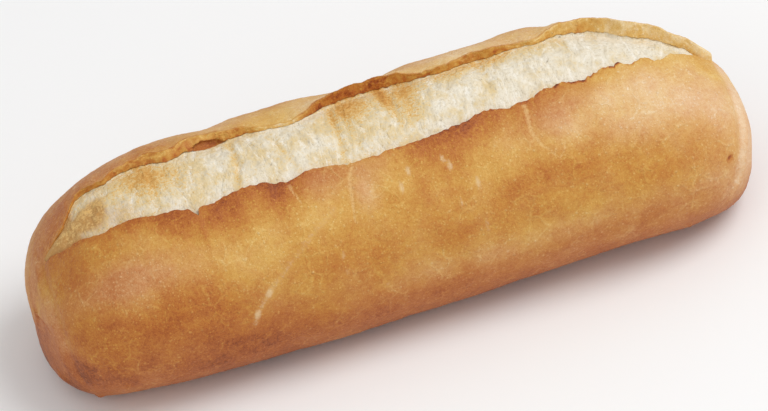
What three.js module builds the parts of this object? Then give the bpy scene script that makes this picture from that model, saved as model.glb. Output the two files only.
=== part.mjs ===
// A bolillo-type bread roll: one crusty loaf, blunt at both ends and flat underneath, slashed
// once along the top. The slash has opened into a band of bare crumb, the crust behind it has
// lifted into an ear, and a shallow crease runs from each tip of the slash down the loaf's end.
import * as THREE from 'three';
import { mergeVertices } from 'three/addons/utils/BufferGeometryUtils.js';

// Driving dimensions in millimetres. X runs along the loaf, Y across it from the near side to
// the far side, and Z up from the face it rests on.
const LENGTH = 178;
const WIDTH = 61;
const CROWN_HEIGHT = 48.6;
const WIDEST_HEIGHT = 19.8;
const FLAT_BASE_CUT = 1.6;
const BEND = 1.2;

// The slash: its two tips, how far it gapes to each side, and the relief of its edges.
const SLASH_TIP = { left: { x: -84.8, y: 2.6 }, right: { x: 82.7, y: -0.2 } };
const NEAR_GAPE = 15.2;
const NEAR_SKEW = 0.16;
const FAR_GAPE = 3.4;
const FAR_GAPE_TOWARDS_TIPS = 5.2;
const FAR_GAPE_SQUARENESS = 8;
const GAPE_TAPER = 0.7;
const NEAR_RIM_PROUD = 0.5;
const CRUMB_SET_BACK = 0.9;
const CRUMB_UNDER_EAR = 1.7;
const EAR_PROUD = 1.5;
const EAR_WAVE = 0.7;
const EAR_SWELLS = 2;

// The creases down the two ends: how far in they lie, how deep and how wide they are.
const CREASE_FROM_END = { left: 3.0, right: 4.6 };
const CREASE_DEPTH = 0.9;
const CREASE_HALF_WIDTH = 1.6;

// How blunt each long outline is: a squareness along the loaf and a roundness at the corner.
const PLAN_OUTLINE = { squareness: 8.6, roundness: 2.3 };
const CROWN_OUTLINE = { squareness: 4.6, roundness: 1.8 };
const BELLY_OUTLINE = { squareness: 16, roundness: 5.1 };
const DOME_FULLNESS = 2.2;
const BELLY_FULLNESS = 2.35;

// The mesh: rings along the loaf, closer together at the ends, and the points of one ring.
const RINGS = 84;
const END_CROWDING = 1.6;
const NEAR_POINTS = 17;
const SLASH_POINTS = 9;
const FAR_POINTS = 20;
const RING_POINTS = NEAR_POINTS + SLASH_POINTS + FAR_POINTS;

// Angles round a section, in degrees: 0 at the near side, 90 on top, 180 at the far side.
const UNDERSIDE = -90;
const FULL_TURN = 360;
const EDGE_STEP = 2.6;
const ON_LIP = 0.01;
const LEAST_HALF_OPENING = 5;
const FULL_HALF_OPENING = 13;
const NEAR_RIM_SPREAD = 14;
const EAR_SPREAD = 34;
const CREASE_LOW_END = -24;
const CREASE_FADE = 22;

const HALF_LENGTH = LENGTH / 2;
const radians = THREE.MathUtils.degToRad;
const degrees = THREE.MathUtils.radToDeg;
const lerp = THREE.MathUtils.lerp;
const smoothstep = THREE.MathUtils.smoothstep;

// How full an outline still is at a station, from 1 along the middle to 0 at the very end.
function fullness(station, outline) {
  const left = 1 - Math.abs(station) ** outline.squareness;
  return Math.max(left, 0) ** (1 / outline.roundness);
}

// The sizes of the plain section at x: its middle line and its reach to the side, up and down.
function section(x) {
  const station = THREE.MathUtils.clamp(x / HALF_LENGTH, -1, 1);
  return {
    middle: -BEND * station ** 2,
    halfWidth: (WIDTH / 2) * fullness(station, PLAN_OUTLINE),
    crown: (CROWN_HEIGHT - WIDEST_HEIGHT) * fullness(station, CROWN_OUTLINE),
    belly: (WIDEST_HEIGHT + FLAT_BASE_CUT) * fullness(station, BELLY_OUTLINE),
  };
}

// A point of the plain loaf, before the slash and the creases.
function plainPoint(x, angle) {
  const { middle, halfWidth, crown, belly } = section(x);
  const across = Math.cos(radians(angle));
  const upward = Math.sin(radians(angle));
  const power = upward > 0 ? DOME_FULLNESS : BELLY_FULLNESS;
  const reach = (Math.abs(across) ** power + Math.abs(upward) ** power) ** (-1 / power);
  const rise = upward > 0 ? crown : belly;
  const y = middle - halfWidth * reach * across;
  const z = Math.max(WIDEST_HEIGHT + rise * reach * upward, 0);
  return new THREE.Vector3(x, y, z);
}

// The angle at which a line that lies y across the crown crosses the section at x.
function angleOnCrown(x, y) {
  const { middle, halfWidth } = section(x);
  const across = THREE.MathUtils.clamp((middle - y) / Math.max(halfWidth, 1), -1, 1);
  const upward = (1 - Math.abs(across) ** DOME_FULLNESS) ** (1 / DOME_FULLNESS);
  return degrees(Math.atan2(upward, across));
}

// The slash at x: the angles of its near lip and far lip, which meet at its tips.
function slash(x) {
  const { left, right } = SLASH_TIP;
  const along = THREE.MathUtils.clamp((x - left.x) / (right.x - left.x), 0, 1);
  const station = 2 * along - 1;
  const tipLine = lerp(left.y, right.y, along);
  const nearTaper = (1 - station ** 2) ** GAPE_TAPER;
  const farTaper = (1 - station ** FAR_GAPE_SQUARENESS) ** GAPE_TAPER;
  const nearGape = NEAR_GAPE * (1 - NEAR_SKEW * station) * nearTaper;
  const farGape = (FAR_GAPE + FAR_GAPE_TOWARDS_TIPS * station ** 2) * farTaper;
  const near = angleOnCrown(x, tipLine - nearGape);
  const far = angleOnCrown(x, tipLine + farGape);
  return { near, far, centre: (near + far) / 2, halfOpening: (far - near) / 2, along };
}

// The angles of the two lines of points that follow the slash's lips. They stay apart past the
// slash's tips, where the lips have met, so that no face there is a sliver.
function guides(x) {
  const { centre, halfOpening } = slash(x);
  const spread = Math.max(halfOpening, LEAST_HALF_OPENING);
  return { near: centre - spread, far: centre + spread };
}

// The angle of one point of the ring at x. Points crowd on both sides of each lip.
function ringAngle(x, index) {
  const { near, far } = guides(x);
  const slashStart = NEAR_POINTS;
  const farStart = NEAR_POINTS + SLASH_POINTS;
  if (index <= slashStart) {
    return lerp(UNDERSIDE, near, index / NEAR_POINTS);
  }
  if (index <= farStart) {
    const share = (index - slashStart - 1) / (SLASH_POINTS - 1);
    return lerp(near + EDGE_STEP, far, share);
  }
  const share = (index - farStart - 1) / (FAR_POINTS - 1);
  return lerp(far + EDGE_STEP, UNDERSIDE + FULL_TURN, share);
}

// How far the slash moves the skin outwards at a point.
function slashRelief(x, angle) {
  const { near, far, halfOpening, along } = slash(x);
  const open = smoothstep(halfOpening, LEAST_HALF_OPENING, FULL_HALF_OPENING);
  if (angle <= near + ON_LIP) {
    const rim = 1 - smoothstep(near - angle, 0, NEAR_RIM_SPREAD);
    return open * NEAR_RIM_PROUD * rim;
  }
  if (angle <= far + ON_LIP) {
    const share = (angle - near) / (far - near);
    return -open * lerp(CRUMB_SET_BACK, CRUMB_UNDER_EAR, share);
  }
  const ear = 1 - smoothstep(angle - far, EDGE_STEP, EAR_SPREAD);
  const wave = EAR_WAVE * Math.cos(EAR_SWELLS * 2 * Math.PI * along);
  return open * (EAR_PROUD - wave) * ear;
}

// How far the crease at the nearer end moves the skin inwards at a point.
function creaseRelief(x, angle) {
  const inset = x < 0 ? CREASE_FROM_END.left : CREASE_FROM_END.right;
  const off = (HALF_LENGTH - Math.abs(x) - inset) / CREASE_HALF_WIDTH;
  const { centre } = slash(x);
  const above = smoothstep(angle, CREASE_LOW_END, CREASE_LOW_END + CREASE_FADE);
  const below = 1 - smoothstep(angle, centre, centre + CREASE_FADE);
  return -CREASE_DEPTH * Math.exp(-off * off) * above * below;
}

// The loaf's skin: a sphere's grid with its poles at the loaf's two ends. Each of its points is
// first laid on the plain loaf and then moved along the surface's normal by the relief.
function loafGeometry() {
  const grid = new THREE.SphereGeometry(1, RING_POINTS, RINGS);
  const place = grid.attributes.position;
  const share = grid.attributes.uv;
  const relief = [];
  for (let i = 0; i < place.count; i += 1) {
    const ring = Math.round(share.getY(i) * RINGS);
    const column = Math.round(share.getX(i) * RING_POINTS) % RING_POINTS;
    const fromMiddle = 1 - (2 * ring) / RINGS;
    const towardsEnd = 1 - (1 - Math.abs(fromMiddle)) ** END_CROWDING;
    const x = HALF_LENGTH * Math.sign(fromMiddle) * towardsEnd;
    const atPole = ring === 0 || ring === RINGS;
    const angle = ringAngle(x, column);
    const point = plainPoint(x, angle);
    place.setXYZ(i, x, point.y, point.z);
    const resting = !atPole && point.z === 0;
    relief.push(atPole || resting ? 0 : slashRelief(x, angle) + creaseRelief(x, angle));
  }
  grid.setAttribute('relief', new THREE.Float32BufferAttribute(relief, 1));
  grid.deleteAttribute('normal');
  grid.deleteAttribute('uv');
  const loaf = mergeVertices(grid);
  loaf.computeVertexNormals();
  const { position, normal } = loaf.attributes;
  const point = new THREE.Vector3();
  const outwards = new THREE.Vector3();
  for (let i = 0; i < position.count; i += 1) {
    outwards.fromBufferAttribute(normal, i);
    point.fromBufferAttribute(position, i).addScaledVector(outwards, loaf.attributes.relief.getX(i));
    position.setXYZ(i, point.x, point.y, Math.max(point.z, 0));
  }
  loaf.deleteAttribute('relief');
  loaf.computeBoundingBox();
  const middle = loaf.boundingBox.getCenter(new THREE.Vector3());
  loaf.translate(-middle.x, -middle.y, 0);
  loaf.computeVertexNormals();
  return loaf;
}

const crust = new THREE.MeshStandardMaterial({
  color: 0xc98a4b,
  roughness: 0.62,
  metalness: 0,
});

const loaf = new THREE.Mesh(loafGeometry(), crust);
loaf.name = 'loaf';

const roll = new THREE.Group();
roll.add(loaf);

export default roll;
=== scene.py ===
import math

import bmesh
import bpy
import numpy as np
from mathutils import Matrix, Vector, noise


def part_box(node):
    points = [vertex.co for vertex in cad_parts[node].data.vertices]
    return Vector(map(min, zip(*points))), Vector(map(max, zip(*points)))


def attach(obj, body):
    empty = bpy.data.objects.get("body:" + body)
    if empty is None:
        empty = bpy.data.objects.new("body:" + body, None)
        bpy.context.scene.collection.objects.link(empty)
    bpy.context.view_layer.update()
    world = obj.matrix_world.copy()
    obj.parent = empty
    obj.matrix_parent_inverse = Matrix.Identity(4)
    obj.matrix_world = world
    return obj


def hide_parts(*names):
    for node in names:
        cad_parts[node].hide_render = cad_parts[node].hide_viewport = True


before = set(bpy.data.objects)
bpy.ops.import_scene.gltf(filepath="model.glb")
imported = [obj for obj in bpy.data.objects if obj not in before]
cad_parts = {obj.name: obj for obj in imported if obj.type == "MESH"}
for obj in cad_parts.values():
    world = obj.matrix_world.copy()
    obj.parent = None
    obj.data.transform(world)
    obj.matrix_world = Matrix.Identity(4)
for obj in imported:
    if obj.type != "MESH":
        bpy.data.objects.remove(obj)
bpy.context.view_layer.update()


# The dough: a rolled piece of white dough, proved and baked on a flat sheet. Its section is a
# full round dome over a rounder belly that the sheet cuts flat, and both ends are blunt.
# Sizes in this file are millimetres and angles degrees; the mesh is scaled to metres at its end.
MM = 0.001
low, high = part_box("loaf")
HALF_LENGTH = (high[0] - low[0]) / MM / 2
WIDTH = 61.0
CROWN_HEIGHT = 48.6
WIDEST_HEIGHT = 19.8
FLAT_BASE_CUT = 1.6
BEND = 1.2
PLAN_SQUARENESS, PLAN_ROUNDNESS = 8.6, 2.3
CROWN_SQUARENESS, CROWN_ROUNDNESS = 4.6, 1.8
BELLY_SQUARENESS, BELLY_ROUNDNESS = 16.0, 5.1
DOME_FULLNESS = 2.2
BELLY_FULLNESS = 2.35


def drawn(x, stops):
    """A smooth line through a few (place, value) stops, level beyond the first and the last."""
    place, value = np.array(stops, dtype=float).T
    slope = np.gradient(value, place)
    i = np.clip(np.searchsorted(place, x) - 1, 0, len(place) - 2)
    step = place[i + 1] - place[i]
    t = np.clip((x - place[i]) / step, 0, 1)
    rise = value[i] + (value[i + 1] - value[i]) * t * t * (3 - 2 * t)
    swing = slope[i] * t * (1 - t) ** 2 - slope[i + 1] * t * t * (1 - t)
    return rise + swing * step


def eased(x, start, end):
    """0 up to start and 1 from end on, with a soft run between."""
    t = np.clip((x - start) / (end - start), 0, 1)
    return t * t * (3 - 2 * t)


def lumps(x, y, z, seed):
    """Smooth random unevenness from about -1 to 1, one lump to a unit of x, y and z."""
    places = zip(np.ravel(x), np.ravel(y), np.ravel(z))
    made = [noise.noise(Vector((a + seed * 17.3, b - seed * 5.7, c + seed * 3.1))) for a, b, c in places]
    return np.reshape(made, np.shape(x)) * 1.6


def ragged(x, pitch, seed):
    """Random unevenness along a line, with one tooth to a pitch and finer teeth on it."""
    flat = np.zeros_like(x)
    return lumps(x / pitch, flat, flat, seed) + 0.5 * lumps(x * 2.7 / pitch, flat, flat, seed + 1)


def outline(station, squareness, roundness):
    return np.maximum(1 - np.abs(station) ** squareness, 0) ** (1 / roundness)


def section(x):
    """The dough's plain section at x: its middle line, half width, crown and belly."""
    station = np.clip(x / HALF_LENGTH, -1, 1)
    middle = -BEND * station ** 2
    half_width = WIDTH / 2 * outline(station, PLAN_SQUARENESS, PLAN_ROUNDNESS)
    crown = (CROWN_HEIGHT - WIDEST_HEIGHT) * outline(station, CROWN_SQUARENESS, CROWN_ROUNDNESS)
    belly = (WIDEST_HEIGHT + FLAT_BASE_CUT) * outline(station, BELLY_SQUARENESS, BELLY_ROUNDNESS)
    return middle, half_width, crown, belly


def dough(x, angle):
    """Points of the plain dough. The angle is 0 on the near side, 90 on top, 180 on the far side."""
    middle, half_width, crown, belly = section(x)
    across = np.cos(np.radians(angle))
    upward = np.sin(np.radians(angle))
    power = np.where(upward > 0, DOME_FULLNESS, BELLY_FULLNESS)
    reach = (np.abs(across) ** power + np.abs(upward) ** power) ** (-1 / power)
    rise = np.where(upward > 0, crown, belly)
    return np.stack([x, middle - half_width * reach * across, WIDEST_HEIGHT + rise * reach * upward], -1)


def angle_on_crown(x, y):
    """The angle at which a line that lies y across the crown crosses the section at x."""
    middle, half_width, crown, belly = section(x)
    across = np.clip((middle - y) / np.maximum(half_width, 1), -1, 1)
    upward = (1 - np.abs(across) ** DOME_FULLNESS) ** (1 / DOME_FULLNESS)
    return np.degrees(np.arctan2(upward, across))


# The slash: one long cut along the top. The near lip is a thin ragged edge of crust, the crumb
# between the lips is torn dough, and the far side has lifted into an ear whose face is toasted.
# Each line is drawn through (place along the loaf, value) stops. The stops of NEAR_LIP and
# CRUMB_FOOT are numbers that another program worked out.
SLASH_ENDS = (-85.6, 84.6)
OPENING_RUNS = (9.0, 6.0)
BLUNT_TIP_RUN = 1.6
NEAR_LIP = [
    (-85.6, 0.9), (-82.8, -0.3), (-79.4, -3.1), (-76.2, -4.5), (-72.0, -7.4), (-68.8, -7.9),
    (-64.0, -8.6), (-56.0, -11.2), (-50.2, -12.2), (-43.5, -13.0), (-38.0, -11.7), (-33.0, -12.2),
    (-27.6, -13.5), (-18.6, -12.6), (-10.4, -14.0), (2.0, -13.3), (14.4, -12.8), (19.8, -12.0),
    (21.4, -11.4), (29.6, -11.6), (34.2, -11.2), (42.4, -9.0), (50.4, -9.3), (55.0, -7.2), (62.4, -7.0),
    (66.0, -5.3), (68.2, -6.5), (71.0, -4.3), (75.4, -2.6), (80.8, -1.2), (84.6, 0.0)]
CRUMB_FOOT = [
    (-85.6, 1.1), (-82.2, 1.2), (-79.2, 2.3), (-76.2, 4.6), (-73.2, 8.2), (-71.0, 8.8), (-66.0, 7.3),
    (-62.0, 8.4), (-57.0, 7.8), (-54.0, 6.9), (-51.0, 5.3), (-44.4, 6.3), (-41.5, 5.8), (-36.0, 6.5),
    (-31.6, 6.7), (-27.0, 5.6), (-16.4, 5.0), (-12.6, 7.2), (-8.6, 8.5), (9.2, 8.4), (12.6, 7.3),
    (20.0, 7.0), (25.0, 8.3), (32.0, 8.3), (36.6, 9.0), (45.0, 8.5), (49.2, 10.4), (54.0, 10.4),
    (57.6, 10.3), (61.5, 8.5), (65.0, 6.0), (71.0, 5.5), (75.4, 2.8), (79.0, 1.3), (80.8, -0.9),
    (84.6, 0.5)]
EAR_LEAN = [
    (-85.6, 0.1), (-72.0, 0.1), (-64.0, 0.2), (-60.0, 0.6), (-56.0, 1.6), (-53.0, 2.4), (-46.0, 2.0),
    (-42.0, 3.4), (-38.0, 2.6), (-34.5, 1.2), (-30.0, 0.5), (-20.0, 0.3), (84.6, 0.5)]
EAR_LIFT = [
    (-85.6, 0.0), (-78.0, 0.2), (-70.0, 0.7), (-60.0, 1.0), (-50.0, 1.5), (-41.0, 1.5), (-34.0, 1.3),
    (-30.0, 0.9), (-26.0, 0.4), (-20.0, 0.3), (-16.0, 0.8), (-12.0, 1.5), (0.0, 2.0), (6.0, 1.9),
    (10.0, 1.6), (13.0, 0.8), (18.0, 1.2), (24.0, 1.0), (30.0, 1.5), (33.0, 1.4), (37.0, 0.6),
    (43.0, 0.6), (48.0, 1.5), (52.0, 2.1), (58.0, 2.6), (66.0, 2.8), (76.0, 2.0), (81.0, 1.7),
    (84.6, 1.3)]
CRUMB_SUNK = [
    (-85.6, 0.0), (-78.0, 0.5), (-66.0, 0.8), (-45.0, 1.1), (-38.0, 1.3), (-32.0, 1.0), (-24.0, 0.5),
    (-18.0, 0.6), (-12.0, 1.2), (0.0, 1.5), (9.0, 1.6), (13.0, 0.9), (22.0, 1.0), (32.0, 1.2),
    (37.0, 0.8), (44.0, 0.8), (52.0, 1.4), (66.0, 1.8), (76.0, 1.4), (80.0, 0.8), (84.6, 0.2)]
CRUMB_ENDS = (78.6, 80.2)
LIP_NICK = {"at": -48.7, "deep": 2.2, "half_widths": (1.3, 0.3)}
LIP_THICKNESS = 0.9
LIP_PROUD = 0.45
LIP_SPREAD = 6.0
CRUMB_SWELL = 0.7
EAR_SPREAD = [
    (-22, 12), (-18, 11), (-10, 5), (5, 5), (12, 10), (18, 12), (40, 12), (46, 10), (54, 5), (60, 5)]
EAR_DROP = [
    (-22, 0.0), (-16, 0.0), (-8, 0.9), (4, 1.6), (12, 0.3), (18, 0.0), (40, 0.0), (46, 0.2), (52, 1.4),
    (60, 2.4), (70, 3.2), (80, 3.0), (84, 2.0), (88, 0.0)]
DROP_STARTS = (0.8, 9.0)
DROP_ENDS = (22.0, 42.0)
LEAST_OPENING = 1.6
LEAST_CRUMB = 0.12

# Columns of points round one ring, by the band of the loaf they lie in.
BANDS = {"near": 84, "rim": 6, "crumb": 56, "face": 24, "edge": 6, "far": 74}
RINGS = 396
COLUMNS = sum(BANDS.values())
END_RING_SHARE = 0.55
UNDERSIDE = -90.0
RIM_WIDTH = 0.8
EDGE_WIDTH = 0.7

bm = bmesh.new()
bmesh.ops.create_uvsphere(bm, u_segments=COLUMNS, v_segments=RINGS, radius=1.0)
bm.verts.ensure_lookup_table()
ball = np.array([v.co[:] for v in bm.verts])
ring = np.rint(np.arccos(np.clip(ball[:, 2], -1, 1)) / math.pi * RINGS).astype(int)
column = np.floor(np.arctan2(ball[:, 1], ball[:, 0]) / (2 * math.pi) * COLUMNS).astype(int) % COLUMNS
pole = (ring == 0) | (ring == RINGS)

# Rings are spaced along the loaf's outline, a little wider apart on the blunt ends.
walk = HALF_LENGTH * np.sin(np.linspace(-math.pi / 2, math.pi / 2, 4001))
girth = section(walk)[1]
travel = np.concatenate([[0], np.cumsum(np.hypot(np.diff(walk), END_RING_SHARE * np.diff(girth)))])
ring_x = np.interp(np.linspace(0, travel[-1], RINGS + 1), travel, walk)

# Each lip's line across the loaf, ring by ring, with its teeth. The ear stays open to its blunt tip.
left, right = SLASH_ENDS
from_left = eased(ring_x, left, left + OPENING_RUNS[0])
opening = from_left * (1 - eased(ring_x, right - OPENING_RUNS[1], right))
ear_open = from_left * (1 - eased(ring_x, right - BLUNT_TIP_RUN, right))
nick_width = np.where(ring_x < LIP_NICK["at"], *LIP_NICK["half_widths"])
nick = LIP_NICK["deep"] * np.exp(-((ring_x - LIP_NICK["at"]) / nick_width) ** 2)
teeth = 0.26 * ragged(ring_x, 3.2, 1) + (0.20 + 0.16 * eased(ring_x, 38, 52)) * ragged(ring_x, 1.5, 41)
teeth += (0.10 + 0.14 * eased(ring_x, 15, 30)) * ragged(ring_x, 1.0, 43)
near_y = drawn(ring_x, NEAR_LIP) + opening * teeth - nick
foot_teeth = 0.20 * ragged(ring_x, 2.6, 3) + 0.12 * ragged(ring_x, 1.1, 45)
foot_y = drawn(ring_x, CRUMB_FOOT) + opening * foot_teeth
top_y = foot_y + drawn(ring_x, EAR_LEAN) + opening * 0.30 * ragged(ring_x, 2.2, 5)
lift = ear_open * np.maximum(drawn(ring_x, EAR_LIFT) + 0.22 * ragged(ring_x, 3.4, 7), 0)
sunk = opening * drawn(ring_x, CRUMB_SUNK)

near_angle = angle_on_crown(ring_x, near_y)
foot_angle = angle_on_crown(ring_x, foot_y)
top_angle = angle_on_crown(ring_x, top_y)
per_degree = np.maximum(section(ring_x)[1], 1) * math.pi / 180
centre = (near_angle + top_angle) / 2
least = LEAST_OPENING / per_degree / 2
near_angle = np.minimum(near_angle, centre - least)
top_angle = np.maximum(top_angle, centre + least)
foot_angle = np.where(opening > 0, foot_angle, centre + least / 2)
foot_angle = np.clip(foot_angle, near_angle + LEAST_CRUMB * (top_angle - near_angle), None)

# Which band each point lies in, and how far across it.
edges = np.concatenate([[0], np.cumsum(list(BANDS.values()))])
band = np.clip(np.searchsorted(edges, column, side="right") - 1, 0, len(BANDS) - 1)
across_band = (column - edges[band]) / np.array(list(BANDS.values()))[band]
near, rim, crumb, face, edge, far = [band == k for k in range(len(BANDS))]

x = ring_x[ring]
lip = near_angle[ring]
foot = foot_angle[ring]
top = top_angle[ring]
mm_per_degree = per_degree[ring]
rim_turn = RIM_WIDTH / mm_per_degree
edge_turn = EDGE_WIDTH / mm_per_degree
u = across_band
angle = np.select(
    [near, rim, crumb, face, edge, far],
    [UNDERSIDE + (lip - rim_turn - UNDERSIDE) * u * (1.35 - 0.35 * u),
     lip - rim_turn * (1 - u),
     lip + (foot - lip) * u,
     foot + (top - foot) * u,
     top + edge_turn * u,
     top + edge_turn + (UNDERSIDE + 360 - top - edge_turn) * u * (0.65 + 0.35 * u)])
angle = np.where(pole, 0, angle)
place = dough(x, angle)

# Outward directions of the plain dough, from how its sizes change along the loaf.
STEP = 0.05
LAST_X = HALF_LENGTH - 1e-4
LEAST_SIZE = 1e-3
middle, half_width, crown, belly = section(x)
ahead = section(np.clip(x + STEP, -LAST_X, LAST_X))
behind = section(np.clip(x - STEP, -LAST_X, LAST_X))
rising = place[:, 2] > WIDEST_HEIGHT
power = np.where(rising, DOME_FULLNESS, BELLY_FULLNESS)
rise = np.where(rising, crown, belly)
wide = np.maximum(half_width, LEAST_SIZE)
tall = np.maximum(rise, LEAST_SIZE)
side_y = (place[:, 1] - middle) / wide
side_z = (place[:, 2] - WIDEST_HEIGHT) / tall
growth_y = (ahead[1] - behind[1]) / (2 * STEP) / wide
growth_z = (np.where(rising, ahead[2], ahead[3]) - np.where(rising, behind[2], behind[3])) / (2 * STEP)
growth_z = growth_z / tall
out = np.stack([
    -np.abs(side_y) ** power * growth_y - np.abs(side_z) ** power * growth_z,
    np.abs(side_y) ** (power - 1) * np.sign(side_y) / wide,
    np.abs(side_z) ** (power - 1) * np.sign(side_z) / tall], -1)
out /= np.maximum(np.linalg.norm(out, axis=1), 1e-9)[:, None]
resting = place[:, 2] <= 0
place[:, 2] = np.maximum(place[:, 2], 0)

# Relief: how far the skin stands out from the plain dough. The near crust rises to its lip, the
# crumb dips behind it, and the ear's face climbs from the crumb's foot to the ear's edge.
open_here = opening[ring]
lift_here = lift[ring]
sunk_here = sunk[ring]
from_lip = np.clip(lip - angle, 0, None) * mm_per_degree
past_top = np.clip(angle - top, 0, None) * mm_per_degree
rim_height = LIP_PROUD * (1 + 0.6 * ragged(ring_x, 9.0, 9)[ring])
relief_near = rim_height * np.exp(-(from_lip / LIP_SPREAD) ** 2) * open_here
relief_rim = (rim_height - (LIP_THICKNESS + rim_height) * eased(u, 0.25, 1.0)) * open_here
relief_crumb = (CRUMB_SWELL * np.sin(math.pi * u) - LIP_THICKNESS * (1 - u)) * open_here - sunk_here * u
relief_face = -sunk_here + (lift_here + sunk_here) * np.sin(math.pi / 2 * u) ** 0.9
fallen = eased(past_top, *DROP_STARTS) * (1 - eased(past_top, *DROP_ENDS))
relief_far = lift_here * (1 - eased(past_top, 0.0, drawn(x, EAR_SPREAD))) - drawn(x, EAR_DROP) * fallen
relief = np.select([near, rim, crumb, face, edge, far],
                   [relief_near, relief_rim, relief_crumb, relief_face, relief_far, relief_far])

# Torn crumb: fine strands that lean a little as they cross the slash, soft pillows between them,
# tears where two pillows meet, and a few deep folds given by where they start and end.
STRAND_LEAN = 1.7
FOLDS = [{"lip": -38.1, "foot": -35.2, "bow": 1.3, "deep": 1.3, "half_width": 0.75},
         {"lip": -22.4, "foot": -26.5, "bow": 0.0, "deep": 0.6, "half_width": 0.7},
         {"lip": -11.4, "foot": -9.4, "bow": 0.0, "deep": 0.9, "half_width": 0.8},
         {"lip": -6.2, "foot": -7.0, "bow": -0.6, "deep": 0.5, "half_width": 0.8},
         {"lip": 3.8, "foot": 4.8, "bow": 0.4, "deep": 0.45, "half_width": 0.7},
         {"lip": 27.0, "foot": 27.8, "bow": 0.6, "deep": 0.5, "half_width": 0.8},
         {"lip": 52.4, "foot": 48.2, "bow": 0.5, "deep": 0.7, "half_width": 0.6},
         {"lip": -57.5, "foot": -55.0, "bow": 0.5, "deep": 0.45, "half_width": 1.0}]
flat = np.zeros_like(x)
across = (angle - lip) * mm_per_degree
strand = x + STRAND_LEAN * (1 - np.clip(u, 0, 1)) * crumb + 0.9 * lumps(x / 6, across / 7, flat, 11)
fibres = 0.12 * lumps(strand / 2.4, across / 6.5, flat, 12)
fibres += 0.11 * lumps(strand / 1.2, across / 2.4, flat, 13)
pillows = 0.32 * lumps(strand / 7.0, across / 13, flat, 17)
tears = -0.38 * (1 - np.clip(np.abs(lumps(strand / 5.2, across / 16, flat, 18)) * 4.5, 0, 1)) ** 2
pores = 0.12 * lumps(place[:, 0] / 0.9, place[:, 1] / 0.9, place[:, 2] / 0.9, 14)
folded = np.zeros_like(x)
for fold in FOLDS:
    line = fold["lip"] + (fold["foot"] - fold["lip"]) * u + fold["bow"] * np.sin(math.pi * u)
    folded -= fold["deep"] * np.exp(-((x - line) / fold["half_width"]) ** 2)
inside = np.where(crumb, np.sin(math.pi * np.clip(u, 0, 1)) ** 0.6, 0) * open_here
relief = relief + inside * (fibres + pillows + tears + pores + folded * (0.5 + 0.5 * u))

# A second, thinner lip at the slash's left tip, where a strip of skin tore off with the crumb.
STRIP = {"from": -82.0, "to": -63.5, "across": [(-82.0, 0.75), (-76.0, 0.58), (-70.0, 0.60), (-63.5, 0.68)],
         "half_width": 1.5, "height": 0.35}
off_strip = (u - drawn(x, STRIP["across"])) * (foot - lip) * mm_per_degree / STRIP["half_width"]
strip = np.exp(-off_strip ** 2) * eased(x, STRIP["from"] - 1, STRIP["from"] + 3)
strip = strip * (1 - eased(x, STRIP["to"] - 5, STRIP["to"] + 2)) * crumb
relief = relief + STRIP["height"] * strip

# A smooth pocket at the foot of the ear, where the crumb came away from it: tall at its left end
# and tapering to its right.
POCKET = {"from": -43.4, "to": -35.2, "deep": 0.4, "back": 1.35, "height": 1.15, "brown": 0.78}
run = np.clip((x - POCKET["from"]) / (POCKET["to"] - POCKET["from"]), 0, 1)
pocket_top = POCKET["height"] * run ** 0.5 * (1 - run) ** 0.8
pocket = face * (u > 0) * (run > 0) * (run < 1) * (1 - eased(u, pocket_top - 0.10, pocket_top + 0.03))
relief = relief - POCKET["deep"] * pocket

# The ear's face: rough where the crust tore away from the crumb.
rough = 0.30 * lumps(x / 1.5, u * 2.0, flat, 15) + 0.22 * lumps(x / 0.8, u * 3.5, flat, 16)
on_face = np.where(face, np.sin(math.pi * np.clip(u, 0, 1)) ** 0.6, 0) * open_here * (1 - pocket)
relief = relief + on_face * rough

# The end creases: from each tip of the slash a shallow valley runs down the loaf's blunt end.
CREASES = {
    -1: {"inset": [(-30, 5.6), (-22, 4.2), (-11, 3.2), (12, 2.8), (40, 2.8), (63, 2.9), (82, 3.4),
                   (97, 4.2)],
         "depth": 0.6, "half_width": 0.8, "pale": 0.08, "from": -44, "full": -16},
    1: {"inset": [(-30, 14.0), (-16, 12.0), (-8, 9.8), (3, 8.4), (21, 6.4), (37, 5.0), (63, 4.4),
                  (82, 3.6), (110, 3.2)],
        "depth": 0.8, "half_width": 1.0, "pale": 0.12, "from": -26, "full": -6}}
CREASE_ENDS = (100, 122)
CREASE_SHOULDER = 0.3
creased = np.zeros_like(x)
past_crease = {}
for end, crease in CREASES.items():
    off = (x * end - HALF_LENGTH + drawn(angle, crease["inset"])) / crease["half_width"]
    reach = eased(angle, crease["from"], crease["full"]) * (1 - eased(angle, *CREASE_ENDS)) * (x * end > 0)
    creased += crease["pale"] * np.exp(-((off - 0.7) / 0.8) ** 2) * reach
    past_crease[end] = eased(off, -0.3, 1.2) * reach
    shoulder = CREASE_SHOULDER * np.exp(-((off - 1.9) / 1.1) ** 2)
    relief = relief + (shoulder - crease["depth"] * np.exp(-off * off)) * reach


# The skin's own unevenness: listed swells and hollows that turned out in proving, slow random
# swell, small blisters, short cracks where the skin split beside the slash, and a few burrs.
LINE_PER_DEGREE = WIDTH / 2 * math.pi / 180


def spread(x, angle, spots):
    """Soft oval spots, each with its place (x, angle), half length, half turn and amount."""
    total = np.zeros_like(x)
    for at_x, at_angle, half_length, half_turn, amount in spots:
        total += amount * np.exp(-((x - at_x) / half_length) ** 2 - ((angle - at_angle) / half_turn) ** 2)
    return total


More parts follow.
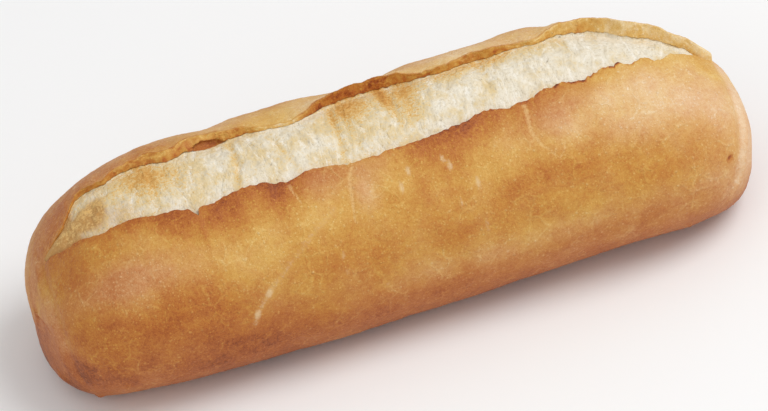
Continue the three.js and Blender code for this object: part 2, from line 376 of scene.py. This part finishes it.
def along_line(line):
    """How far each point lies from a line of (x, angle) stops, in mm, and how far along it, 0 to 1."""
    best = np.full_like(x, 1e3)
    share = np.zeros_like(x)
    for k, (start, end) in enumerate(zip(line, line[1:])):
        run = np.array([end[0] - start[0], (end[1] - start[1]) * LINE_PER_DEGREE])
        to = np.stack([x - start[0], (angle - start[1]) * LINE_PER_DEGREE], -1)
        t = np.clip(to @ run / (run @ run), 0, 1)
        gap = np.linalg.norm(to - t[:, None] * run, axis=1)
        share = np.where(gap < best, (k + t) / (len(line) - 1), share)
        best = np.minimum(best, gap)
    return best, share


SWELLS = [
    (-66, 115, 14, 25, 1.1), (-53, 126, 6, 22, 0.4), (-38, 124, 5, 22, -0.9), (12, 127, 8, 20, 0.5),
    (25, 120, 10, 20, 0.2), (43, 127, 8, 20, 1.3), (87, 88, 3, 25, -0.3), (-89, 10, 4, 25, -0.9),
    (-90, 80, 3, 45, -0.7), (-25, -45, 14, 25, 0.5), (50, -45, 30, 25, -0.8), (-69, -45, 9, 25, -0.6),
    (-42, -45, 8, 25, 0.3)]
CRACKS = [
    {"line": [(-26.7, 66.0), (-26.2, 58.0), (-24.9, 50.4)], "half_width": 0.40},
    {"line": [(-9.9, 65.0), (-12.6, 55.0), (-13.4, 47.0), (-14.5, 35.0)], "half_width": 0.52},
    {"line": [(33.3, 70.0), (32.3, 53.0), (33.6, 46.0), (35.1, 43.0), (36.8, 38.0)], "half_width": 0.48},
    {"line": [(36.8, 38.0), (38.4, 41.0), (39.6, 46.0)], "half_width": 0.26}]
CRACK_DEPTH = 0.14
NO_CRACK = 9.0
BURRS = [(-86.9, -44.0), (-80.3, -47.0), (-74.8, -28.0), (65.8, -31.0)]
BURR_SIZE = (0.9, 2.4, 0.7)
PIT = {"at": (78.0, 13.0), "half_length": 0.8, "half_turn": 1.6, "deep": 0.5, "brown": 0.5}
RELIEF_STARTS = (-0.5, 2.5)

swell = spread(x, angle, SWELLS)
swell += 0.35 * lumps(place[:, 0] / 26, place[:, 1] / 22, place[:, 2] / 22, 21)
swell += 0.12 * lumps(place[:, 0] / 8, place[:, 1] / 8, place[:, 2] / 8, 22)
on_crust = np.select([near, far], [1 - eased(from_lip, 2.5, 0.5), eased(past_top, 0.5, 2.5)], 0)
blisters = 0.07 * lumps(place[:, 0] / 2.6, place[:, 1] / 2.6, place[:, 2] / 2.6, 23)
blisters += 0.05 * lumps(place[:, 0] / 1.2, place[:, 1] / 1.2, place[:, 2] / 1.2, 24)
from_crack = np.full_like(x, NO_CRACK)
for crack in CRACKS:
    off, share = along_line(crack["line"])
    off = off / (crack["half_width"] * (1.2 - 0.6 * share)) + 1.0 * eased(share, 0.9, 1.0)
    relief = relief - CRACK_DEPTH * np.exp(-off ** 2) * near
    from_crack = np.minimum(from_crack, np.where(near, off, NO_CRACK))
length, turn, height = BURR_SIZE
burrs = spread(x, angle, [(at_x, at_angle, length, turn, height) for at_x, at_angle in BURRS])
pit = spread(x, angle, [(*PIT["at"], PIT["half_length"], PIT["half_turn"], 1.0)])
relief = relief + swell + on_crust * blisters + burrs - PIT["deep"] * pit

relief = relief * np.where(resting | pole, 0, eased(place[:, 2], *RELIEF_STARTS))
place = place + out * relief[:, None]
place[:, 1] += POCKET["back"] * pocket
place[:, 2] = np.maximum(place[:, 2], 0)

for vertex, at in zip(bm.verts, place * MM):
    vertex.co = at
bmesh.ops.recalc_face_normals(bm, faces=bm.faces[:])
for f in bm.faces:
    f.smooth = True

mesh = bpy.data.meshes.new("roll")
bm.to_mesh(mesh)
bm.free()
roll = bpy.data.objects.new("roll", mesh)
bpy.context.scene.collection.objects.link(roll)


# How the loaf baked, with some painted light and shade mixed in, kept as numbers on the mesh's points.
# Browning runs from 0, pale, to 1, burnt; rosiness turns the crust's gold to a duller red-brown; flour
# is the pale dusting and scars.
def note(name, values):
    """Keeps one number a point on the mesh, for the materials to read."""
    kept = mesh.attributes.new(name, "FLOAT", "POINT")
    kept.data.foreach_set("value", np.asarray(values, dtype=np.float32))


PLAIN_BAKE = 0.53
CRUMB_BAKE = 0.5
BAKE_BY_HEIGHT = [
    (-90, 0.30), (-40, 0.24), (-14, 0.19), (-4, 0.14), (8, 0.07), (24, 0.06), (36, -0.01), (90, -0.02),
    (140, 0.0), (170, 0.09), (200, 0.16), (230, 0.26), (270, 0.30)]
BAKE_SPOTS = [
    # the left end, brown all over, and the brown cheek beside it
    (-86, 20, 9, 90, 0.15), (-78, 24, 7, 60, 0.10), (-64, 18, 14, 22, 0.17), (-70, 62, 12, 10, 0.05),
    (-80, 110, 16, 26, 0.12), (-52, 8, 9, 16, 0.12), (-40, -4, 10, 9, 0.06), (-42, -14, 30, 13, 0.08),
    # The spot at (-78, -44) makes the crust paler low on the left end beside the floor: painted light over
    # the shade there.
    (-82, 62, 4, 16, 0.06), (-30, 6, 7, 7, 0.07), (-33, 56, 6, 7, 0.07), (-78, -44, 10, 20, -0.12),
    (-36, 32, 8, 6, -0.07), (-80, 6, 5, 16, -0.08), (-87, 45, 2, 22, 0.04), (-84, 14, 5, 24, -0.05),
    (-44, 26, 8, 8, -0.08), (-48, 12, 8, 8, 0.04),
    # the pale shoulder on the right, paler partly from lighter baking and partly from painted sheen,
    # and the paler right end
    (60, 60, 15, 17, -0.27), (80, 45, 9, 50, -0.09), (82, -5, 9, 30, -0.12), (66, 6, 12, 10, -0.06),
    (54, 24, 8, 7, -0.08), (52, -14, 22, 8, -0.10), (84, -18, 8, 12, -0.10), (76, 82, 8, 20, -0.10),
    (41, 48, 4, 6, -0.06), (70, 50, 9, 9, -0.07),
    # the mottled brown patch below it
    (31, 34, 8, 8, 0.15), (43, 32, 8, 6, 0.10), (57, 34, 8, 5, 0.06), (66, 20, 5, 6, 0.07),
    (47, 18, 4, 4, 0.05), (77, 12, 4, 7, 0.10), (34, 52, 6, 8, 0.08), (2, 54, 10, 7, 0.06),
    (21, 62, 7, 8, 0.05), (42, 62, 7, 6, 0.09), (47, 42, 6, 5, 0.10), (21, 28, 8, 7, 0.06),
    # the golden middle
    (8, 2, 22, 8, -0.10), (32, 4, 14, 8, -0.08), (-48, 46, 9, 8, -0.04), (-20, 44, 12, 8, -0.03),
    (12, 17, 9, 4, 0.06), (-14, 20, 10, 5, 0.03), (-10, 48, 2.4, 9, -0.10)]
LIP_TOAST = [
    (-84, 0.06), (-76, 0.18), (-66, 0.33), (-56, 0.34), (-44, 0.34), (-32, 0.38), (-24, 0.32),
    (-18, 0.24), (-12, 0.14), (-6, 0.08), (0, 0.18), (6, 0.32), (18, 0.32), (27, 0.26), (34, 0.24),
    (42, 0.23), (52, 0.16), (62, 0.03)]
LIP_TOAST_WIDTH = [
    (-76, 3.5), (-66, 5.5), (-42, 8.0), (-30, 6.0), (-18, 5.0), (0, 6.5), (10, 7.5), (20, 6.5),
    (36, 5.0)]
# Rosier and duller low on both sides and underneath: painted reflection of the pale floor in the shade
# there, over the crust's own colour.
ROSY_AND_SHADE_BY_HEIGHT = [
    (-90, 0.9), (-20, 0.9), (-10, 0.6), (0, 0.35), (10, 0.15), (30, 0.05), (60, 0.0), (88, -0.2),
    (100, 0.3), (150, 0.3), (190, 0.3), (220, 0.7), (270, 0.9)]
ROSY_SPOTS = [
    # The spot at (70, 58) makes that shoulder pinker: partly painted sheen, over the crust's own colour.
    (70, 58, 18, 20, 0.7), (-10, 48, 3, 10, 0.5), (78, 28, 10, 26, 0.6), (82, -6, 10, 20, 0.4),
    (58, 2, 14, 8, 0.25), (-80, 4, 6, 18, -0.5), (-74, 50, 9, 12, 0.5), (52, 46, 10, 9, 0.5),
    (-6, 60, 5, 8, 0.4), (-70, 46, 11, 9, 0.9), (-60, 38, 10, 8, 0.4), (-87, 4, 4, 40, 0.5),
    (26, 2, 26, 8, 0.2), (-20, 60, 6, 7, 0.9), (38, 56, 7, 9, 0.7), (48, 62, 10, 7, 0.5),
    (-76, 110, 14, 22, 0.3), (-24, 108, 9, 14, -0.6), (-34, 62, 9, 10, -1.0)]
EAR_TOAST = [
    (-84, 0.62), (-76, 0.66), (-68, 0.62), (-56, 0.62), (-43, 0.58), (-35, 0.58), (-30, 0.56),
    (-26, 0.36), (-19, 0.34), (-16, 0.60), (-6, 0.74), (8, 0.70), (22, 0.56), (33, 0.62), (38, 0.44),
    (43, 0.38), (57, 0.34), (62, 0.20), (70, 0.20), (84, 0.18)]
BEHIND_EAR = [
    (-84, -0.02), (-72, 0.08), (-60, 0.10), (-44, 0.00), (-32, -0.14), (-20, -0.22), (10, -0.26),
    (30, -0.26), (60, -0.20), (72, -0.08), (84, 0.0)]

slow = 0.05 * lumps(place[:, 0] / 14, place[:, 1] / 12, place[:, 2] / 12, 31)
slow += 0.045 * lumps(place[:, 0] / 6, place[:, 1] / 6, place[:, 2] / 6, 32)
browning = PLAIN_BAKE + drawn(angle, BAKE_BY_HEIGHT) + spread(x, angle, BAKE_SPOTS) + slow
lip_width = drawn(x, LIP_TOAST_WIDTH) * (1 + 0.25 * ragged(ring_x, 5.0, 33)[ring])
browning += drawn(x, LIP_TOAST) * np.exp(-(from_lip / lip_width) ** 2) * (near | rim)
browning += drawn(x, BEHIND_EAR) * np.exp(-(past_top / 11.0) ** 2) * far
lip_char = (0.08 * eased(x, -34, -20) + 0.30 * eased(x, 32, 46)) * (1 - eased(x, 60, 70))
browning += lip_char * rim * (0.5 + 1.0 * ragged(ring_x, 1.4, 47)[ring])
browning -= 0.06 * past_crease[-1] + 0.13 * past_crease[1] + creased
ear_toast = drawn(x, EAR_TOAST) + 0.10 * lumps(x / 2.0, u * 2.2, flat, 34)
ear_toast += 0.12 * lumps(x / 0.9, u * 3.5, flat, 36)
ear_toast += 0.10 * (1 - 2 * u)
ear_toast = browning + (ear_toast - browning) * ear_open[ring]
browning = np.where(face, ear_toast, browning)
browning = np.where(edge, ear_toast + (browning - ear_toast) * u, browning)
browning = np.where(crumb, browning + (CRUMB_BAKE - browning) * open_here, browning)
browning += pocket * (POCKET["brown"] - browning) + PIT["brown"] * pit
rosiness = drawn(angle, ROSY_AND_SHADE_BY_HEIGHT) + spread(x, angle, ROSY_SPOTS)
rosiness += 0.15 * lumps(place[:, 0] / 9, place[:, 1] / 9, place[:, 2] / 9, 35)
rosiness += 0.5 * past_crease[1] + 0.4 * past_crease[-1] + 3.0 * creased
rosiness = np.where(face, rosiness + (0.3 * pocket + 0.05 - rosiness) * ear_open[ring], rosiness)

STREAK = [(-18.0, 45.0), (-26.7, 35.0), (-33.0, 25.5), (-38.0, 18.0), (-41.8, 9.0), (-43.0, 3.0)]
FLOUR_SPOTS = [
    (1.4, 51.6, 0.7, 2.4, 0.9), (-1.4, 45.4, 0.7, 3.2, 0.8), (10.0, 52.6, 0.7, 2.4, 0.8),
    (11.2, 48.6, 0.7, 2.8, 0.9), (16.4, 38, 0.7, 3.2, 0.9), (11.4, 31.7, 0.6, 3.0, 0.6),
    (16, 17, 0.6, 5.0, 0.6), (-19.3, 24, 0.7, 2.2, 0.7), (-19.1, 16, 0.6, 2.2, 0.6),
    (-9.9, 3, 0.7, 2.0, 0.5), (-38.2, 17, 0.9, 1.9, 0.60), (-42, 8, 0.9, 2.1, 0.50),
    (-71, 118, 1.0, 2.0, 0.7)]
off, share = along_line(STREAK)
streak = np.exp(-(off / 1.1) ** 2) * (0.40 + 0.12 * share)
flour = spread(x, angle, FLOUR_SPOTS) + streak

# Toast on the crumb: gold where it lay bare to the oven under the ear. At the slash's left tip a
# thin golden film of skin tore off with the crumb and still lies over it.
CRUMB_TOAST = [
    (-5, 0.80, 5, 0.26, 0.52), (3.4, 0.84, 1.4, 0.32, 0.62), (9, 0.85, 4, 0.20, 0.36),
    (22, 0.90, 8, 0.20, 0.36), (33, 0.92, 6, 0.18, 0.32), (43, 0.95, 6, 0.20, 0.28),
    (49.5, 0.6, 1.2, 0.3, 0.2), (-56, 0.80, 7, 0.28, 0.38), (-50, 0.50, 5, 0.25, 0.14),
    (8, 0.56, 3.5, 0.35, 0.36), (-58, 0.60, 3, 0.3, 0.15), (-74, 0.5, 9, 0.9, 0.10),
    (-64, 0.5, 14, 0.9, 0.12), (-30, 0.5, 14, 0.9, 0.08), (-6, 0.5, 12, 0.7, 0.10),
    (56, 0.5, 26, 0.9, -0.12)]
FILM_MIDDLE = [(-82.0, 0.60), (-79.0, 0.70), (-76.5, 0.50), (-73.0, 0.41), (-68.2, 0.55), (-66.0, 0.72)]
FILM_HALF_WIDTH = 0.22
across_crumb = np.where(face, 1.0, u)
# The term from folded turns the crumb a darker gold along the deep folds: painted shade in the folds.
toast = spread(x, across_crumb, CRUMB_TOAST) + 0.10 * strip + 0.30 * (1 - np.exp(0.8 * folded))
off_film = (across_crumb - drawn(x, FILM_MIDDLE)) / FILM_HALF_WIDTH
film = np.exp(-off_film ** 2) * (1 - eased(x, -70.5, -66.0))
film = 1.05 * np.maximum(film, 1 - eased(x, -79.0, -73.0))
film += 0.30 * spread(x, across_crumb, [(-65, 0.2, 6, 0.3, 1)])
film += 0.10 * (1 - eased(x, -72.0, -60.0))
bare = np.select([near, rim, crumb, face, edge, far], [0, eased(u, 0.62, 0.92), 1, 1 - 4.5 * u, 0, 0])
bare = np.clip(bare, 0, 1) * eased(open_here, 0.02, 0.2) * (1 - pocket) * (1 - eased(x, *CRUMB_ENDS))

note("crumb", bare)
note("browning", browning)
note("rosiness", rosiness)
note("flour", flour)
note("crack", from_crack)
note("toast", np.where(crumb | face | rim, toast, 0))
note("film", np.where(crumb | face | rim, film, 0))
note("strand", strand)
note("across", across)

# A flat map of the skin, once round across and end to end upward, with its seam underneath.
UNWRAPPED = "OFBake"
corners = np.zeros(len(mesh.loops), dtype=np.int32)
mesh.loops.foreach_get("vertex_index", corners)
starts = np.zeros(len(mesh.polygons), dtype=np.int32)
mesh.polygons.foreach_get("loop_start", starts)
counts = np.zeros(len(mesh.polygons), dtype=np.int32)
mesh.polygons.foreach_get("loop_total", counts)
owner = np.repeat(np.arange(len(starts)), counts)
turned = column[corners] / COLUMNS
at_pole = pole[corners]
widest = np.maximum.reduceat(np.where(at_pole, 0, turned), starts)[owner]
turned = np.where((turned == 0) & (widest > 0.5), 1.0, turned)
sides = np.add.reduceat(np.where(at_pole, 0, turned), starts)[owner]
others = np.add.reduceat(np.where(at_pole, 0, 1), starts)[owner]
turned = np.where(at_pole, sides / others, turned)
flat_map = np.stack([turned, ring[corners] / RINGS], -1)
mesh.uv_layers.new(name=UNWRAPPED).data.foreach_set("uv", flat_map.ravel().astype(np.float32))


# The finish of the crust and of the crumb: two node groups, which one material blends by the
# crumb mask.
def paint(red, green, blue):
    """A colour as it looks, each part from 0 to 255, in the shader's linear values."""
    return tuple(((part / 255 + 0.055) / 1.055) ** 2.4 for part in (red, green, blue)) + (1.0,)


def add(tree, kind, joins=None, **settings):
    """Adds a node, sets it up, and joins or sets its inputs, named or counted."""
    made = tree.nodes.new(kind)
    for name, value in settings.items():
        setattr(made, name, value)
    for name, value in (joins or {}).items():
        if isinstance(value, bpy.types.NodeSocket):
            tree.links.new(value, made.inputs[name])
        else:
            made.inputs[name].default_value = value
    return made


def sums(tree, start, *parts):
    """start plus each (value, weight) part, as a chain of multiply-add nodes."""
    total = start
    for value, weight in parts:
        joins = {0: value, 1: weight, 2: total}
        total = add(tree, "ShaderNodeMath", joins, operation="MULTIPLY_ADD").outputs[0]
    return total


def times(tree, a, b):
    return add(tree, "ShaderNodeMath", {0: a, 1: b}, operation="MULTIPLY").outputs[0]


def fade(tree, value, start, end, low=0.0, high=1.0):
    """low where value is at start, high where it is at end, soft between and level beyond."""
    joins = {"Value": value, "From Min": start, "From Max": end, "To Min": low, "To Max": high}
    return add(tree, "ShaderNodeMapRange", joins, interpolation_type="SMOOTHSTEP").outputs["Result"]


def grain(tree, place, per_mm, detail=2.0, roughness=0.55):
    joins = {"Vector": place, "Scale": per_mm, "Detail": detail, "Roughness": roughness}
    return add(tree, "ShaderNodeTexNoise", joins).outputs["Fac"]


def dots(tree, place, per_mm, size, share):
    """Round dots, one to a cell in the given share of the cells, each about size cells wide."""
    cells = add(tree, "ShaderNodeTexVoronoi", {"Vector": place, "Scale": per_mm})
    picked = add(tree, "ShaderNodeSeparateColor", {"Color": cells.outputs["Color"]}).outputs["Red"]
    some = fade(tree, picked, 1 - share, 1.15 - share)
    return times(tree, fade(tree, cells.outputs["Distance"], size, size * 0.3), some)


def blend(tree, amount, a, b):
    joins = {"Factor": amount, "A": a, "B": b}
    made = tree.nodes.new("ShaderNodeMix")
    made.data_type = "RGBA"
    for name, value in joins.items():
        socket = [s for s in made.inputs if s.name == name and s.enabled][0]
        if isinstance(value, bpy.types.NodeSocket):
            tree.links.new(value, socket)
        else:
            socket.default_value = value
    return [s for s in made.outputs if s.enabled][0]


def shades(tree, value, stops):
    """A colour ramp through (place, colour) stops."""
    made = add(tree, "ShaderNodeValToRGB", {"Fac": value})
    ramp = made.color_ramp
    for k, (at, colour) in enumerate(stops):
        stop = ramp.elements[k] if k < 2 else ramp.elements.new(at)
        stop.position = at
        stop.color = colour
    return made.outputs["Color"]


def new_group(name, takes, gives):
    """An empty node group with its inputs and outputs; returns it with both sets of sockets."""
    group = bpy.data.node_groups.new(name, "ShaderNodeTree")
    for label, kind in takes.items():
        group.interface.new_socket(name=label, in_out="INPUT", socket_type=kind)
    for label, kind in gives.items():
        group.interface.new_socket(name=label, in_out="OUTPUT", socket_type=kind)
    return group, group.nodes.new("NodeGroupInput").outputs, group.nodes.new("NodeGroupOutput").inputs


FLOAT, VECTOR, COLOUR = "NodeSocketFloat", "NodeSocketVector", "NodeSocketColor"
FINISH = {"Colour": COLOUR, "Roughness": FLOAT, "Height": FLOAT}

# Baked crust: golden to red-brown by its browning, mottled at three scales, and covered in fine pale
# blisters. Heights are in millimetres.
GOLD = [(0.00, paint(246, 224, 180)), (0.15, paint(236, 206, 150)), (0.30, paint(226, 187, 113)),
        (0.45, paint(215, 166, 85)), (0.58, paint(204, 147, 66)), (0.70, paint(193, 126, 51)),
        (0.82, paint(180, 104, 40)), (0.92, paint(158, 80, 30)), (1.00, paint(120, 56, 22))]
ROSE = [(0.00, paint(242, 216, 186)), (0.15, paint(232, 201, 164)), (0.30, paint(224, 182, 137)),
        (0.45, paint(213, 160, 109)), (0.58, paint(201, 140, 87)), (0.70, paint(188, 117, 63)),
        (0.82, paint(174, 98, 49)), (0.92, paint(150, 78, 36)), (1.00, paint(112, 56, 28))]
FLOUR = paint(228, 198, 152)
FISSURE = paint(232, 192, 130)

crust, takes, gives = new_group(
    "baked crust",
    {"Place": VECTOR, "Browning": FLOAT, "Rosiness": FLOAT, "Flour": FLOAT, "Crack": FLOAT}, FINISH)
broad = grain(crust, takes["Place"], 0.10, 3.0)
blotch = grain(crust, takes["Place"], 0.36, 3.0, 0.6)
fine = grain(crust, takes["Place"], 1.4, 2.0, 0.6)
dust = grain(crust, takes["Place"], 4.2, 1.0)
blister = dots(crust, takes["Place"], 0.60, 0.27, 0.50)
pinhead = dots(crust, takes["Place"], 1.30, 0.40, 0.50)
waver = add(crust, "ShaderNodeTexNoise", {"Vector": takes["Place"], "Scale": 0.5}).outputs["Color"]
wavy_place = {0: waver, 1: (2.0, 2.0, 2.0), 2: takes["Place"]}
wavy_place = add(crust, "ShaderNodeVectorMath", wavy_place, operation="MULTIPLY_ADD").outputs[0]
cells = add(crust, "ShaderNodeTexVoronoi", {"Vector": wavy_place, "Scale": 0.22}, feature="DISTANCE_TO_EDGE")
network = fade(crust, cells.outputs["Distance"], 0.09, 0.0)
crackle = times(crust, network, fade(crust, grain(crust, takes["Place"], 0.16, 2.0), 0.50, 0.62))
centred = add(crust, "ShaderNodeMath", {0: takes["Browning"], 1: 0.46}, operation="SUBTRACT").outputs[0]
tone = sums(crust, centred, (broad, 0.14), (blotch, 0.24), (fine, 0.28), (dust, 0.32),
            (blister, -0.15), (pinhead, -0.14), (crackle, -0.10))
hue = sums(crust, takes["Rosiness"], (blotch, 0.7), (broad, -0.7), (blister, 0.15), (pinhead, 0.1))
hue = add(crust, "ShaderNodeClamp", {"Value": hue}).outputs[0]
skin = blend(crust, hue, shades(crust, tone, GOLD), shades(crust, tone, ROSE))
broken = sums(crust, takes["Flour"], (fine, 0.9), (dust, 0.5))
dusted = fade(crust, broken, 0.95, 1.60, 0.0, 0.75)
skin = blend(crust, dusted, skin, FLOUR)
torn = sums(crust, takes["Crack"], (fine, 1.6), (dust, 1.0))
fissure = fade(crust, torn, 2.7, 1.5, 0.0, 0.52)
crust.links.new(blend(crust, fissure, skin, FISSURE), gives["Colour"])
crust.links.new(sums(crust, 0.50, (tone, -0.10), (fine, 0.18), (dusted, 0.15)), gives["Roughness"])
relief = sums(crust, 0.0, (blotch, 0.24), (fine, 0.20), (dust, 0.07), (blister, 0.10), (pinhead, 0.06),
              (crackle, 0.08), (fissure, -0.04))
crust.links.new(relief, gives["Height"])

# Torn crumb: ivory strands across the slash with creamier patches, painted highlights on their raised
# parts, painted grey shade in the hollows and small pores, gold to brown toast where the oven caught
# it, and the film of skin at its tip.
IVORY = paint(236, 226, 205)
CREAM = paint(226, 203, 156)
STRAND_HIGHLIGHT = paint(249, 243, 230)
HOLLOW_SHADE = paint(200, 184, 155)
PORE_SHADE = paint(180, 161, 130)
FILM = paint(192, 141, 75)
TOASTED = [(0.00, paint(236, 216, 168)), (0.30, paint(228, 192, 126)), (0.60, paint(214, 160, 84)),
           (1.00, paint(180, 114, 52))]

crumb_look, takes, gives = new_group(
    "torn crumb", {"Place": VECTOR, "Strand": FLOAT, "Across": FLOAT, "Toast": FLOAT, "Film": FLOAT}, FINISH)
coarse = add(crumb_look, "ShaderNodeCombineXYZ", {
    "X": times(crumb_look, takes["Strand"], 0.55), "Y": times(crumb_look, takes["Across"], 0.20)}).outputs[0]
thin = add(crumb_look, "ShaderNodeCombineXYZ", {
    "X": times(crumb_look, takes["Strand"], 2.1), "Y": times(crumb_look, takes["Across"], 0.90)}).outputs[0]
cords = grain(crumb_look, coarse, 1.0, 2.0, 0.6)
hairs = grain(crumb_look, thin, 1.0, 2.0, 0.6)
patch = grain(crumb_look, takes["Place"], 0.20, 3.0, 0.6)
fleck = grain(crumb_look, takes["Place"], 1.1, 3.0, 0.65)
shaded_pores = dots(crumb_look, takes["Place"], 0.60, 0.26, 0.14)
creamy = sums(crumb_look, -0.25, (patch, 1.0), (takes["Toast"], 0.8), (fleck, 0.5))
look = blend(crumb_look, fade(crumb_look, creamy, 0.36, 0.70), IVORY, CREAM)
# Painted highlight: the crumb turns paler where its bumps stand highest, on the tops of the strands.
painted_highlight = sums(crumb_look, 0.0, (cords, 0.5), (fleck, 0.3), (hairs, 0.2))
look = blend(crumb_look, fade(crumb_look, painted_highlight, 0.48, 0.66, 0.0, 0.90), look, STRAND_HIGHLIGHT)
# Painted shade: the crumb turns greyer where its bumps are low, in the hollows between the strands.
painted_hollow_shade = sums(crumb_look, 0.0, (fade(crumb_look, cords, 0.46, 0.28), 0.45),
                 (fade(crumb_look, hairs, 0.44, 0.26), 0.30), (fade(crumb_look, fleck, 0.46, 0.28), 0.55))
look = blend(crumb_look, painted_hollow_shade, look, HOLLOW_SHADE)
skinned = times(crumb_look, takes["Film"], sums(crumb_look, 0.7, (fleck, 0.3), (cords, 0.4)))
look = blend(crumb_look, fade(crumb_look, skinned, 0.10, 0.70, 0.0, 0.95), look, FILM)
# Painted shade: the small pores are darkened as well as sunk.
look = blend(crumb_look, times(crumb_look, shaded_pores, 0.6), look, PORE_SHADE)
speck = grain(crumb_look, takes["Place"], 2.4, 1.0)
browned = sums(crumb_look, -0.95, (takes["Toast"], 1.0), (fleck, 1.0), (speck, 0.6), (patch, 0.3))
look = blend(crumb_look, fade(crumb_look, browned, 0.08, 0.46), look, shades(crumb_look, browned, TOASTED))
crumb_look.links.new(look, gives["Colour"])
crumb_look.links.new(sums(crumb_look, 0.72, (hairs, 0.12)), gives["Roughness"])
crumb_look.links.new(
    sums(crumb_look, 0.0, (cords, 0.60), (hairs, 0.20), (fleck, 0.28), (shaded_pores, -0.2)), gives["Height"])

baked = bpy.data.materials.new("baked loaf")
baked.use_nodes = True
tree = baked.node_tree
shader = tree.nodes["Principled BSDF"]
own_place = add(tree, "ShaderNodeTexCoord").outputs["Object"]
in_mm = add(tree, "ShaderNodeVectorMath", {0: own_place, 1: (1 / MM,) * 3}, operation="MULTIPLY").outputs[0]


def read(name):
    return add(tree, "ShaderNodeAttribute", attribute_name=name).outputs["Fac"]


crust_finish = add(tree, "ShaderNodeGroup", node_tree=crust)
tree.links.new(in_mm, crust_finish.inputs["Place"])
for label in ("Browning", "Rosiness", "Flour", "Crack"):
    tree.links.new(read(label.lower()), crust_finish.inputs[label])
crumb_finish = add(tree, "ShaderNodeGroup", node_tree=crumb_look)
tree.links.new(in_mm, crumb_finish.inputs["Place"])
for label in ("Strand", "Across", "Toast", "Film"):
    tree.links.new(read(label.lower()), crumb_finish.inputs[label])
torn_edge = sums(tree, -0.15, (read("crumb"), 1.15), (grain(tree, in_mm, 0.9, 3.0, 0.6), 0.5),
                 (grain(tree, in_mm, 0.3, 2.0), 0.7))
crumb_mask = fade(tree, torn_edge, 0.98, 1.24)
colour = blend(tree, crumb_mask, crust_finish.outputs["Colour"], crumb_finish.outputs["Colour"])
tree.links.new(colour, shader.inputs["Base Color"])


def mixed(label):
    """The crust's or the crumb's value by the mask: crust + mask x (crumb - crust)."""
    a = crust_finish.outputs[label]
    b = crumb_finish.outputs[label]
    gap = add(tree, "ShaderNodeMath", {0: b, 1: a}, operation="SUBTRACT").outputs[0]
    return sums(tree, a, (gap, crumb_mask))


tree.links.new(mixed("Roughness"), shader.inputs["Roughness"])
shader.inputs["Specular IOR Level"].default_value = 0.3
bump = add(tree, "ShaderNodeBump", {"Height": mixed("Height"), "Distance": MM, "Strength": 1.0})
tree.links.new(bump.outputs["Normal"], shader.inputs["Normal"])
mesh.materials.append(baked)

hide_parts("loaf")
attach(roll, "root")


# The table: a plain pale floor under the loaf.
FLOOR_SIZE = 4.0
bm = bmesh.new()
bmesh.ops.create_grid(bm, x_segments=1, y_segments=1, size=FLOOR_SIZE / 2)
mesh = bpy.data.meshes.new("floor")
bm.to_mesh(mesh)
bm.free()
floor = bpy.data.objects.new("floor", mesh)
bpy.context.scene.collection.objects.link(floor)
pale = bpy.data.materials.new("pale table")
pale.use_nodes = True
pale.node_tree.nodes["Principled BSDF"].inputs["Base Color"].default_value = (0.94, 0.94, 0.94, 1)
pale.node_tree.nodes["Principled BSDF"].inputs["Roughness"].default_value = 0.9
mesh.materials.append(pale)


# Light and camera: soft studio light from the upper right, and a long lens looking down on the
# near side from slightly to the left.
def soft_light(name, place, aim, size, power):
    data = bpy.data.lights.new(name, "AREA")
    data.shape = "DISK"
    data.size = size
    data.energy = power
    lamp = bpy.data.objects.new(name, data)
    lamp.location = place
    lamp.rotation_euler = (Vector(aim) - Vector(place)).to_track_quat("-Z", "Y").to_euler()
    bpy.context.scene.collection.objects.link(lamp)


soft_light("key", place=(0.75, -0.25, 1.15), aim=(0.02, 0, 0.02), size=1.0, power=9.5)
soft_light("fill", place=(-0.9, -0.9, 0.8), aim=(0, 0, 0.02), size=1.1, power=2.4)
ROOM_LIGHT = 0.6
world = bpy.data.worlds.new("studio")
bpy.context.scene.world = world
world.use_nodes = True
world.node_tree.nodes["Background"].inputs["Color"].default_value = (1, 1, 1, 1)
world.node_tree.nodes["Background"].inputs["Strength"].default_value = ROOM_LIGHT

AZIMUTH = math.radians(-13)
ELEVATION = math.radians(38)
ROLL = math.radians(-8.72)
DISTANCE = 1.6
LOOK_AT = Vector((0, 0, 0.0243))
OFF_CENTRE = Vector((-0.0005, -0.00398, 0))
FOCAL_LENGTH = 314.85
lens = bpy.data.cameras.new("camera")
lens.lens = FOCAL_LENGTH
lens.sensor_width = 36
lens.clip_start = 0.05
camera = bpy.data.objects.new("camera", lens)
level = math.cos(ELEVATION)
back = Vector((math.sin(AZIMUTH) * level, -math.cos(AZIMUTH) * level, math.sin(ELEVATION)))
turn = (-back).to_track_quat("-Z", "Y").to_matrix().to_4x4() @ Matrix.Rotation(ROLL, 4, "Z")
camera.matrix_world = Matrix.Translation(LOOK_AT + back * DISTANCE + turn.to_3x3() @ OFF_CENTRE) @ turn
bpy.context.scene.collection.objects.link(camera)
bpy.context.scene.camera = camera
bpy.context.scene.view_settings.view_transform = "Standard"
